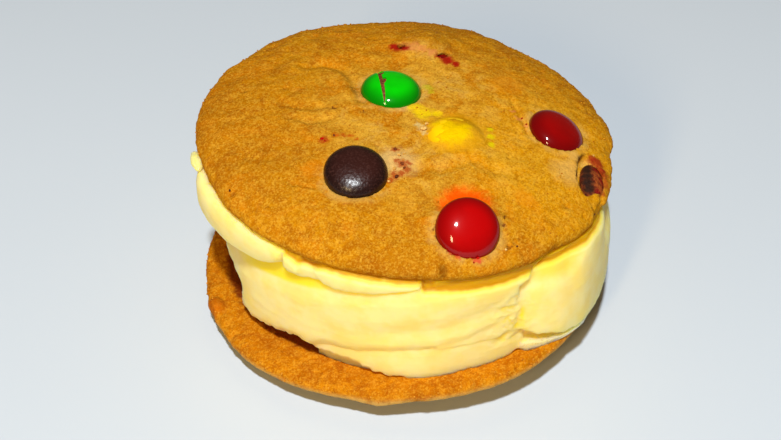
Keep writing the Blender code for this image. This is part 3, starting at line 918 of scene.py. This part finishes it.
def speckled(f, base, pale, brown, deep):
    """Fine baked grains over soft blotches, with a few dark specks."""
    tone = f.grains(0.42, f.shifted(0.5, 0.4))
    speck = f.grains(0.6, f.shifted(0.7, 0.5))
    blotch = f.cloud(1.6, 5, 0.7, 0.5)
    fine = f.cloud(0.36, 3, 0.7)
    base = f.mix(f.ramp(blotch, 0.5, 0.68) * 0.35, base, pale)
    base = f.mix(f.ramp(blotch, 0.48, 0.32) * 0.4, base, brown)
    base = f.mix(f.ramp(tone, 0.5, 0.85) * 0.38, base, pale)
    base = f.mix(f.ramp(tone, 0.5, 0.2) * 0.38, base, brown)
    base = f.mix(f.ramp(fine, 0.5, 0.66) * 0.4, base, pale)
    base = f.mix(f.ramp(fine, 0.5, 0.34) * 0.4, base, brown)
    base = f.mix(f.ramp(speck, 0.8, 0.88) * f.ramp(blotch, 0.52, 0.36) * 0.3, base, deep)
    height = tone * 0.3 + fine * 0.4 + f.cloud(0.8, 4, 0.65) * 0.5
    return base, height


def paint(f, base, shade, strength, spots, where, spot_at=on_top):
    """Colour in ragged spots (x, y, reach), on the upper cookie if nothing else is said."""
    total = None
    for x, y, reach in spots:
        spot = f.near(spot_at(x, y), reach * 0.4, reach * 1.3, where)
        total = total.math("MAXIMUM", total, spot) if total else spot
    return f.mix(total * strength, base, colour(*shade))


def on_chip(x, y):
    """A point on the torn candy at the upper cookie's rim."""
    return candy_place(CANDIES["candy_dark_rim"]) @ Vector((x, y, 1.4))


def sugar_cookie_top():
    f = Finish("baked_dough_top")
    golden, pale, brown, deep = colour(194, 127, 5), colour(218, 164, 52), colour(160, 90, 2), colour(104, 50, 3)
    tan, orange = colour(208, 160, 72), colour(208, 118, 3)
    wide = f.cloud(11, 4, 0.55, 1.2)
    patches = f.cloud(4.5, 5, 0.62, 1.0)
    ragged = f.shifted(9.0, 7.0)
    base = f.mix(f.ramp(patches, 0.3, 0.6), brown, golden)
    middle = f.near(on_top(6, -4), 12, 34, ragged)
    base = f.mix(middle * f.ramp(wide, 0.4, 0.6) * 0.8, base, pale)
    base = f.mix(middle * f.ramp(patches, 0.5, 0.64) * 0.65, base, tan)
    base = f.mix(f.ramp(wide, 0.48, 0.36) * 0.45, base, orange)
    left = f.near(on_top(-46, 2), 4, 26, ragged)
    back = f.near(on_top(4, 48), 4, 24, ragged)
    front = f.near(on_top(-2, -48), 3, 15, ragged)
    base = f.mix((left + back + front).clamp() * 0.6, base, brown)
    base = f.mix(f.near(on_top(-28, -18), 4, 20, ragged) * 0.35, base, brown)
    base = f.mix(f.near(on_top(29, -10), 10, 30, ragged) * 0.5, base, colour(226, 162, 8))
    base = f.mix(f.near(on_top(12, 48), 2, 20, ragged) * 0.45, base, colour(150, 84, 2))
    base, height = speckled(f, base, pale, brown, deep)
    collar = f.attribute("collar") * f.ramp(f.cloud(2.2, 4), 0.35, 0.6)
    base = f.mix(collar * 0.5, base, colour(208, 168, 88))
    smear, ragged_fine = f.shifted(3.2, 1.6), f.shifted(2.0, 0.9)
    base = paint(f, base, (224, 186, 118), 0.6, ((-2.8, -18.5, 4.6), (-1.5, 1.5, 2.5)), smear)
    base = paint(f, base, (218, 172, 90), 0.55, ((33.4, -14.4, 4.4), (35.2, -9.4, 2.2)), smear)
    base = paint(f, base, (210, 120, 6), 0.4, ((10.5, -3.0, 3.0), (22, 12, 4.0), (-20, -22, 3.0), (24, -26, 3.0)), ragged)
    # Painted shade in the pits, darker the deeper the pit.
    base = f.mix(f.ramp(f.attribute("hollow"), 0.2, 1.0) * 0.7, base, deep)
    red_heart = candy_place(CANDIES["candy_red_front"]).translation
    stain = f.near(Vector(red_heart) + Vector((0, 5.6, 1.6)), 3.2, 7.4, smear)
    base = f.mix(stain * 0.95, base, colour(240, 78, 0))
    yellow = candy_place(CANDIES["candy_yellow"])
    stain = f.near(yellow.translation, 5.6, 8.6, smear)
    base = f.mix(stain * 0.75, base, colour(210, 150, 12))
    mound = f.near(yellow @ Vector((-0.6, -0.4, 2.9)), 2.6, 5.6, smear)
    base = f.mix(mound * 0.97, base, colour(230, 186, 0))
    base = f.mix(f.near(yellow @ Vector((0.8, 4.2, 2.4)), 1.6, 4.2, smear) * 0.8, base, colour(196, 134, 8))
    base = paint(f, base, (214, 190, 4), 0.85, ((16.8, -5.6, 0.9), (16.9, -8.2, 1.0), (16.8, -10.8, 0.9)), ragged_fine)
    base = paint(f, base, (230, 194, 6), 0.85, ((2.6, -1.8, 2.2), (0.8, 0.4, 1.6), (5.4, -1.4, 1.4)), smear)
    base = paint(f, base, (170, 176, 10), 0.5, ((4.0, 8.1, 1.4), (4.6, 6.4, 0.8)), ragged_fine)
    base = paint(f, base, (162, 62, 14), 0.85, ((-3.2, -14.8, 0.9), (-1.8, -19.2, 1.4), (-0.9, -20.6, 1.1),
                 (-2.7, -18.4, 0.8), (-0.4, -18.8, 0.8), (-3.2, -22.6, 1.2), (-4.1, -24.0, 0.8), (-1.8, -22.0, 0.8),
                 (-17.9, -12.5, 1.2)), ragged_fine)
    base = paint(f, base, (184, 84, 12), 0.85, ((-15.4, -11.0, 0.8), (-13.9, -10.8, 0.8), (-12.4, -10.7, 0.8),
                 (-11.2, -11.6, 0.6)), ragged_fine)
    base = paint(f, base, (214, 128, 70), 0.6, ((0.4, 23.6, 1.6), (2.6, 22.4, 1.6), (5.0, 21.4, 1.4), (8.0, 21.0, 1.2),
                 (23.4, 0.2, 0.9), (24.6, -2.0, 0.9), (22.4, 2.6, 0.8)), smear)
    base = paint(f, base, (156, 8, 10), 0.95, ((-3.4, 24.9, 1.3), (-2.2, 24.1, 2.0), (-0.9, 23.2, 1.1), (6.4, 20.6, 1.0),
                 (8.4, 20.0, 2.0), (10.2, 19.0, 1.2)), ragged_fine)
    base = paint(f, base, (206, 66, 44), 0.8, ((8.3, -40.6, 0.9), (9.6, -41.3, 0.7), (13.3, -41.2, 1.0), (7.0, -39.2, 0.6)),
                 ragged_fine)
    base = paint(f, base, (96, 44, 16), 0.85, ((-16.1, -1.5, 0.5), (-10.0, -2.1, 0.35), (-26.8, 6.3, 0.5), (5.4, -37.6, 0.7),
                 (4.6, -36.2, 0.6), (19.9, -37.2, 0.7), (18.7, -33.0, 0.6), (18.9, -31.0, 0.6)), ragged_fine)
    base = paint(f, base, (152, 62, 22), 0.85, ((40.2, -8.0, 1.6), (41.2, -10.6, 2.2), (41.0, -13.6, 2.2),
                 (40.2, -16.4, 1.6)), ragged_fine)
    base = paint(f, base, (130, 10, 12), 0.9, ((38.4, -16.8, 1.2), (39.4, -7.4, 0.8), (40.8, -12.4, 0.9), (41.6, -9.6, 0.7),
                 (40.0, -14.9, 0.8)), ragged_fine)
    base = paint(f, base, (146, 46, 18), 0.85, ((0.6, 5.4, 1.6), (1.0, 3.6, 1.6), (-0.8, 6.2, 1.2)), ragged_fine, on_chip)
    # Painted shade on the dough of the crater's left wall beside the torn candy.
    base = paint(f, base, (44, 26, 14), 0.92, ((-3.2, -3.6, 1.7), (-3.7, -1.8, 1.7), (-3.8, 0.2, 1.7), (-3.6, 2.2, 1.7),
                 (-3.2, 4.0, 1.7), (-2.6, 5.4, 1.3)), ragged_fine, on_chip)
    # Painted shadow in the dent at the green candy's left side.
    base = paint(f, base, (128, 92, 12), 0.6, ((-11.4, 5.6, 1.1), (-11.8, 7.4, 0.9), (-10.4, 4.0, 0.8)), smear)
    base = paint(f, base, (206, 180, 116), 0.7, ((2.4, -7.2, 1.2), (1.6, -6.0, 0.9), (2.9, -8.6, 0.7)), ragged_fine)
    rough = f.ramp(height, 0.2, 0.8, 0.62, 0.8)
    return f.finish(base_color=base, roughness=rough, normal=f.bump(height, 0.26, 1.0), specular_ior_level=0.02)


def sugar_cookie_bottom():
    f = Finish("baked_dough_bottom")
    golden, pale, brown, deep = colour(196, 120, 5), colour(216, 154, 44), colour(162, 84, 2), colour(110, 48, 3)
    rim_pale = colour(220, 176, 96)
    patches = f.cloud(4.5, 5, 0.62, 1.0)
    base = f.mix(f.ramp(patches, 0.32, 0.62), brown, golden)
    base, height = speckled(f, base, pale, brown, deep)
    base = f.mix(f.attribute("dome") * f.ramp(patches, 0.2, 0.5) * 0.9, base, rim_pale)
    # Painted shade in the pits and creases, less so on the raised grain.
    base = f.mix(f.ramp(f.attribute("hollow"), 0.2, 1.0) * 0.6, base, deep)
    ragged = f.shifted(2.4, 1.3)
    lump = f.near(BOTTOM_PLACE @ Vector((-41.6, -15.0, 0)), 1.8, 3.4, ragged)
    base = f.mix(lump * 0.6, base, colour(178, 86, 8))
    # Painted shadow: a dark maroon band on the lower cookie just under the overhanging belly of ice cream.
    foot = f.near(BOTTOM_PLACE @ Vector((-1.0, 4.0, 0)), 38.0, 39.8, ragged)
    base = f.mix(foot * 0.85, base, colour(92, 22, 8))
    rough = f.ramp(height, 0.2, 0.8, 0.62, 0.8)
    return f.finish(base_color=base, roughness=rough, normal=f.bump(height, 0.26, 1.0), specular_ior_level=0.02)


def vanilla_finish():
    f = Finish("vanilla_ice_cream")
    deep, shade = f.attribute("deep"), f.attribute("shade")
    cloudy = f.cloud(7, 3)
    fine = f.cloud(0.6, 3)
    pale, cream, yellow, rim_shadow_olive = colour(253, 224, 146), colour(253, 216, 120), colour(255, 218, 44), colour(210, 152, 8)
    base = f.mix(f.ramp(cloudy, 0.35, 0.65), cream, pale)
    # Painted shade in the folds: deep yellow for light that comes through the cream.
    base = f.mix(f.ramp(deep, 0.05, 0.9), base, yellow)
    # Painted shadow in the band under the upper cookie's edge: yellow where it starts, olive-orange deeper in.
    base = f.mix(f.ramp(shade, 0.1, 0.5) * 0.75, base, colour(250, 212, 62))
    base = f.mix(f.ramp(shade, 0.5, 0.9), base, rim_shadow_olive)
    edge = f.ramp(f.attribute("ledge"), 0.3, 0.7)
    base = f.mix(edge * 0.85, base, f.mix(f.ramp(fine, 0.5, 0.8), colour(226, 206, 150), colour(190, 150, 90)))
    height = fine * 0.5 + f.cloud(2.2, 3) * 0.5
    return f.finish(
        base_color=base, roughness=f.ramp(fine, 0.3, 0.7, 0.42, 0.55), normal=f.bump(height, 0.06, 0.6),
        subsurface_weight=1.0, subsurface_radius=(1.0, 0.95, 0.3), subsurface_scale=0.005, specular_ior_level=0.15
    )


# Each shell's colour, and the darker colour that paints shade towards its rim.
SHELLS = {
    "candy_green": ((2, 190, 3), (1, 120, 2)),
    "candy_brown": ((48, 19, 15), (26, 8, 7)),
    "candy_red_front": ((168, 1, 3), (130, 1, 3)),
    "candy_red_right": ((138, 2, 3), (104, 1, 3)),
    "candy_yellow": ((252, 206, 2), (240, 160, 6)),
    "candy_red_back": ((170, 10, 10), (96, 4, 6)),
    "candy_dark_rim": ((70, 24, 20), (40, 12, 10)),
}


def shell_finish(name):
    """A sugar shell, with painted shade that darkens it towards its rim, and rougher and pitted on the brown one."""
    f = Finish(name + "_shell")
    bright, dark = (colour(*shade) for shade in SHELLS[name])
    fine = f.cloud(0.6, 2)
    # Painted shade towards the rim.
    base = f.mix(f.ramp(f.attribute("rim"), 0.5, 1.0), bright, dark)
    base = f.mix(f.ramp(f.cloud(4.5, 2), 0.4, 0.7) * 0.25, base, dark)
    if name == "candy_brown":
        bubbles = f.cells(0.75, "F1", f.shifted(0.5, 0.8))
        rough = f.cloud(0.45, 3, 0.6)
        base = f.mix(f.ramp(rough, 0.5, 0.7) * 0.35, base, colour(84, 46, 38))
        return f.finish(base_color=base, roughness=f.ramp(rough, 0.35, 0.65, 0.25, 0.36), specular_ior_level=0.42,
                        normal=f.bump(bubbles * 0.5 + rough * 0.5, 0.12, 0.7))
    if name == "candy_dark_rim":
        torn, ragged = f.cloud(0.9, 4, 0.7), f.shifted(1.4, 0.8)
        base = f.mix(f.ramp(torn, 0.35, 0.6), colour(110, 34, 14), colour(172, 84, 30))
        base = paint(f, base, (132, 8, 10), 0.9, ((0.4, -3.4, 1.2), (0.2, 3.6, 1.1), (1.4, 0.6, 0.9)), ragged, on_chip)
        # Painted shade from the crater's left wall: a near-black crescent on the chip's left side.
        base = paint(f, base, (30, 18, 12), 0.95, ((-2.2, -3.2, 1.9), (-2.5, -1.4, 1.9), (-2.6, 0.4, 1.9), (-2.5, 2.2, 1.9),
                     (-2.2, 4.0, 1.9)), ragged, on_chip)
        return f.finish(base_color=base, roughness=f.ramp(torn, 0.3, 0.7, 0.6, 0.75), normal=f.bump(torn, 0.5, 1.0),
                        specular_ior_level=0.15)
    height = f.cloud(2.2, 2) * 0.85 + fine * 0.15
    return f.finish(base_color=base, roughness=f.ramp(fine, 0.3, 0.7, 0.36, 0.44), coat_weight=0.75,
                    coat_roughness=0.08, coat_ior=1.4, specular_ior_level=0.02, normal=f.bump(height, 0.04, 0.5))


def filling_finish():
    """Milk chocolate that shows in the green shell's crack."""
    f = Finish("chocolate_filling")
    rough = f.cloud(0.5, 4, 0.7)
    base = f.mix(f.ramp(rough, 0.35, 0.65), colour(76, 30, 12), colour(140, 80, 48))
    return f.finish(base_color=base, roughness=f.ramp(rough, 0.3, 0.7, 0.6, 0.7), normal=f.bump(rough, 0.15, 1.0),
                    specular_ior_level=0.2)


def candy_body(name, sizes, segments=96):
    """A button: a lens a little fuller near its rim."""
    obj = lens(name, sizes, segments)
    points = points_of(obj) * MM
    away = np.hypot(points[:, 0] / sizes[0], points[:, 1] / sizes[1])
    full = sizes[2] * np.sqrt(np.clip(1 - away**2.25, 0, 1))
    points[:, 2] = np.where(np.abs(points[:, 2]) > 1e-6, np.sign(points[:, 2]) * full, 0)
    move_points(obj, points / MM)
    mark(obj, "rim", away)
    return obj


def make_candy(name, candy):
    hidden = 0.1 if name == "candy_dark_rim" else 0
    obj = candy_body("button_" + name, [size - hidden for size in candy["sizes"]])
    if name == "candy_green":
        for half_sizes, place, turn in (((0.42, 7.0, 3.2), (-2.4, 0.4, 2.6), 0.15), ((0.8, 2.3, 1.7), (-2.7, 4.2, 2.0), 0.3),
                                        ((0.6, 1.3, 1.2), (-1.9, -0.4, 3.0), -0.3)):
            cutter = lens("crack", half_sizes, 32)
            put_in_place(cutter, Matrix.Scale(1 / MM, 4) @ Matrix.Translation(place) @ Matrix.Rotation(turn, 4, "Z"))
            cut_with(obj, cutter)
    put_in_place(obj, candy_place(candy))
    pick(obj)
    bpy.ops.object.shade_smooth_by_angle(angle=math.radians(50))
    return obj


def make_filling(candy):
    obj = candy_body("green_candy_filling", [size - 0.35 for size in candy["sizes"]], 64)
    put_in_place(obj, candy_place(candy))
    pick(obj)
    bpy.ops.object.shade_smooth()
    return obj


# ---------------------------------------------------------------- crumbs

def base_crumb(name, squash, seed):
    """One broken crumb of about 1 mm, in a few dozen faces."""
    pick_nothing()
    bpy.ops.mesh.primitive_ico_sphere_add(subdivisions=1, radius=0.5, location=(0, 0, 0))
    obj = bpy.context.object
    obj.name = obj.data.name = name
    bpy.ops.object.mode_set(mode="EDIT")
    bpy.ops.mesh.select_all(action="SELECT")
    bpy.ops.transform.vertex_random(offset=0.16, seed=seed)
    bpy.ops.transform.resize(value=(1.15, 0.9, squash))
    bpy.ops.mesh.bevel(offset=0.1, segments=1, affect="VERTICES")
    bpy.ops.object.mode_set(mode="OBJECT")
    return obj


def scatter(name, spots, squash=0.7):
    """Crumbs at (place, normal, size), all in millimetres, as one piece."""
    models = [base_crumb(name, squash, seed) for seed in (3, 8)]
    copies = []
    for place, normal, size in spots:
        model = CHANCE.choice(models)
        crumb = bpy.data.objects.new(name, model.data.copy())
        bpy.context.scene.collection.objects.link(crumb)
        turned = Vector(normal).to_track_quat("Z", "Y").to_matrix().to_4x4()
        spin = Matrix.Rotation(CHANCE.uniform(0, math.tau), 4, "Z") @ Matrix.Rotation(CHANCE.uniform(-0.4, 0.4), 4, "X")
        stretch = Matrix.Diagonal((size * CHANCE.uniform(0.8, 1.3), size * CHANCE.uniform(0.7, 1.1), size, 1))
        crumb.matrix_world = Matrix.Scale(MM, 4) @ Matrix.Translation(place) @ turned @ spin @ stretch
        copies.append(crumb)
    for model in models:
        discard(model)
    bpy.context.view_layer.update()
    pick(*copies)
    bpy.ops.object.join()
    bpy.ops.object.transform_apply(location=True, rotation=True, scale=True)
    piece = bpy.context.object
    piece.name = piece.data.name = name
    return piece


def resting(obj, x, y, height, size, sink=0.1):
    """Where a crumb lies on the outside of a piece: straight down from x, y, height."""
    hit, place, normal, _ = obj.ray_cast(Vector((x, y, height)) * MM, Vector((0, 0, -1)))
    return (place / MM + normal * size * (0.35 - sink), normal, size) if hit else None


def over_dome(obj, places):
    """Crumbs on the upper cookie, at x, y, size in its own frame."""
    spots = [resting(obj, *on_top(x, y)[:2], 60, size) for x, y, size in places]
    return [spot for spot in spots if spot]


def dough_crumb_places():
    for _ in range(520):
        turn, share = CHANCE.uniform(0, math.tau), CHANCE.random()
        out = 45.2 - 11 * share**1.8 if CHANCE.random() < 0.6 else 42 * math.sqrt(share)
        x, y = out * math.cos(turn), out * math.sin(turn)
        near_candy = min(math.hypot(x - c["at"][0], y - c["at"][1]) for c in CANDIES.values())
        if near_candy > 7.2:
            yield x, y, CHANCE.uniform(0.22, 0.5)


def ring_crumb_places(obj):
    """Crumbs on the lower cookie's rim, outside the ice cream."""
    for _ in range(330):
        turn, out = CHANCE.uniform(0, math.tau), 45.4 - 2.4 * CHANCE.random() ** 1.5
        spot = resting(obj, -0.4 + out * math.cos(turn), -3.2 + out * math.sin(turn), 16, CHANCE.uniform(0.25, 0.6))
        if spot and spot[0].z > 2:
            yield spot


RED_BITS = (
    (-18.2, -12.3, 0.8), (-17.6, -12.9, 0.5), (8.5, -40.5, 0.8), (9.3, -41.1, 0.55), (13.5, -41.0, 0.8),
    (14.2, -40.3, 0.5), (7.6, -39.7, 0.5), (12.6, -42.0, 0.55), (24.1, 0.4, 0.6), (24.9, -1.6, 0.6), (40.6, -13.6, 0.6),
    (39.6, -16.2, 0.5),
)
BROWN_BITS = (
    (-3.2, -14.8, 0.7), (-1.8, -19.4, 0.8), (-2.8, -23.1, 1.0), (-1.3, -20.5, 0.6), (5.5, -38.0, 0.8), (5.0, -36.9, 0.6),
    (38.4, -22.0, 0.6), (21.3, -36.7, 0.6), (-36.0, -24.6, 0.6), (40.9, -11.6, 0.8), (-15.8, -11.2, 0.6),
)
PALE_BITS = (
    (2.6, -7.4, 1.5), (3.4, -6.0, 0.9), (-2.4, -16.9, 0.9), (-3.3, -20.9, 0.8), (-4.4, -24.4, 0.55), (-5.6, -25.4, 0.5),
    (39.3, -6.4, 0.7), (-24.5, -40.0, 0.8), (-22.8, -40.8, 0.9), (-25.9, -39.3, 0.7), (19.0, -38.1, 0.6),
    (6.2, -44.6, 0.7),
)


def crumb_finish(name, light, dark, gloss=0.75):
    f = Finish(name)
    tone = f.grains(0.5)
    base = f.mix(f.ramp(tone, 0.35, 0.65), colour(*dark), colour(*light))
    return f.finish(base_color=base, roughness=f.ramp(f.cloud(0.4, 3), 0.3, 0.7, gloss - 0.1, gloss),
                    normal=f.bump(f.cloud(0.3, 3), 0.08, 0.8), specular_ior_level=0.1)


def dress_loose(piece, finish):
    """A piece with no CAD node of its own."""
    piece.data.materials.clear()
    piece.data.materials.append(finish)
    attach(piece, "root")


def make_crumbs(top, bottom):
    dough = crumb_finish("crumb_dough", (204, 142, 28), (172, 102, 4))
    dress_loose(scatter("dough_crumbs_top", over_dome(top, dough_crumb_places())), dough)
    pale = crumb_finish("crumb_dough_pale", (208, 142, 42), (178, 102, 8))
    dress_loose(scatter("dough_crumbs_rim", ring_crumb_places(bottom)), pale)
    red = crumb_finish("crumb_red_shell", (214, 20, 16), (150, 6, 6), 0.45)
    dress_loose(scatter("red_shell_bits", over_dome(top, RED_BITS), 0.4), red)
    brown = crumb_finish("crumb_chocolate", (110, 52, 20), (60, 24, 10))
    dress_loose(scatter("chocolate_crumbs", over_dome(top, BROWN_BITS)), brown)
    cream = crumb_finish("crumb_cream", (222, 186, 112), (200, 146, 66))
    dress_loose(scatter("pale_crumbs", over_dome(top, PALE_BITS)), cream)


# ---------------------------------------------------------------- studio

def make_studio():
    pick_nothing()
    bpy.ops.mesh.primitive_plane_add(size=6, location=(0, 0, -0.0002))
    floor = bpy.context.object
    floor.name = "studio_floor"
    f = Finish("studio_paper")
    wide = f.cloud(120, 2)
    floor.data.materials.append(
        f.finish(base_color=f.mix(wide, (0.555, 0.605, 0.67, 1), (0.575, 0.625, 0.69, 1)), roughness=0.9,
                 specular_ior_level=0.1)
    )
    def area(name, place, aim, size, power, tint):
        data = bpy.data.lights.new(name, "AREA")
        data.shape, data.size, data.size_y, data.energy, data.color = "ELLIPSE", *size, power, tint
        lamp = bpy.data.objects.new(name, data)
        bpy.context.scene.collection.objects.link(lamp)
        lamp.location = place
        lamp.rotation_euler = (Vector(aim) - Vector(place)).to_track_quat("-Z", "Y").to_euler()
    area("key_light", (-0.04, -0.46, 0.86), (0, 0, 0.02), (0.06, 0.06), 10.9, (0.93, 0.98, 1))
    area("front_light", (-0.3, -0.8, 0.5), (0, 0, 0.02), (0.1, 0.26), 3.4, (1, 0.74, 0.4))
    world = bpy.data.worlds.new("studio_room")
    world.use_nodes = True
    back = world.node_tree.nodes["Background"]
    back.inputs["Color"].default_value = (1.0, 0.8, 0.55, 1)
    back.inputs["Strength"].default_value = 0.1
    bpy.context.scene.world = world
    bpy.context.scene.view_settings.view_transform = "Standard"


def make_camera():
    data = bpy.data.cameras.new("camera")
    data.sensor_width = 36
    data.lens = 73.556
    data.clip_start, data.clip_end = 0.01, 20
    camera = bpy.data.objects.new("camera", data)
    bpy.context.scene.collection.objects.link(camera)
    camera.location = (-0.00332, -0.27627, 0.23703)
    camera.rotation_euler = (math.radians(90 - 38.714), 0, 0)
    bpy.context.scene.camera = camera


def dress(obj, node, finish):
    obj.data.materials.clear()
    obj.data.materials.append(finish)
    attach(obj, "root")
    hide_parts(node)


def main():
    make_camera()
    make_studio()
    top, bottom = make_top_cookie(), make_bottom_cookie()
    make_crumbs(top, bottom)
    dress(top, "top_cookie", sugar_cookie_top())
    dress(bottom, "bottom_cookie", sugar_cookie_bottom())
    cream = vanilla_finish()
    dress(make_ice_cream(), "ice_cream", cream)
    dress_loose(make_cream_dab(), cream)
    dress_loose(make_filling(CANDIES["candy_green"]), filling_finish())
    for name, candy in CANDIES.items():
        dress(make_candy(name, candy), name, shell_finish(name))


main()
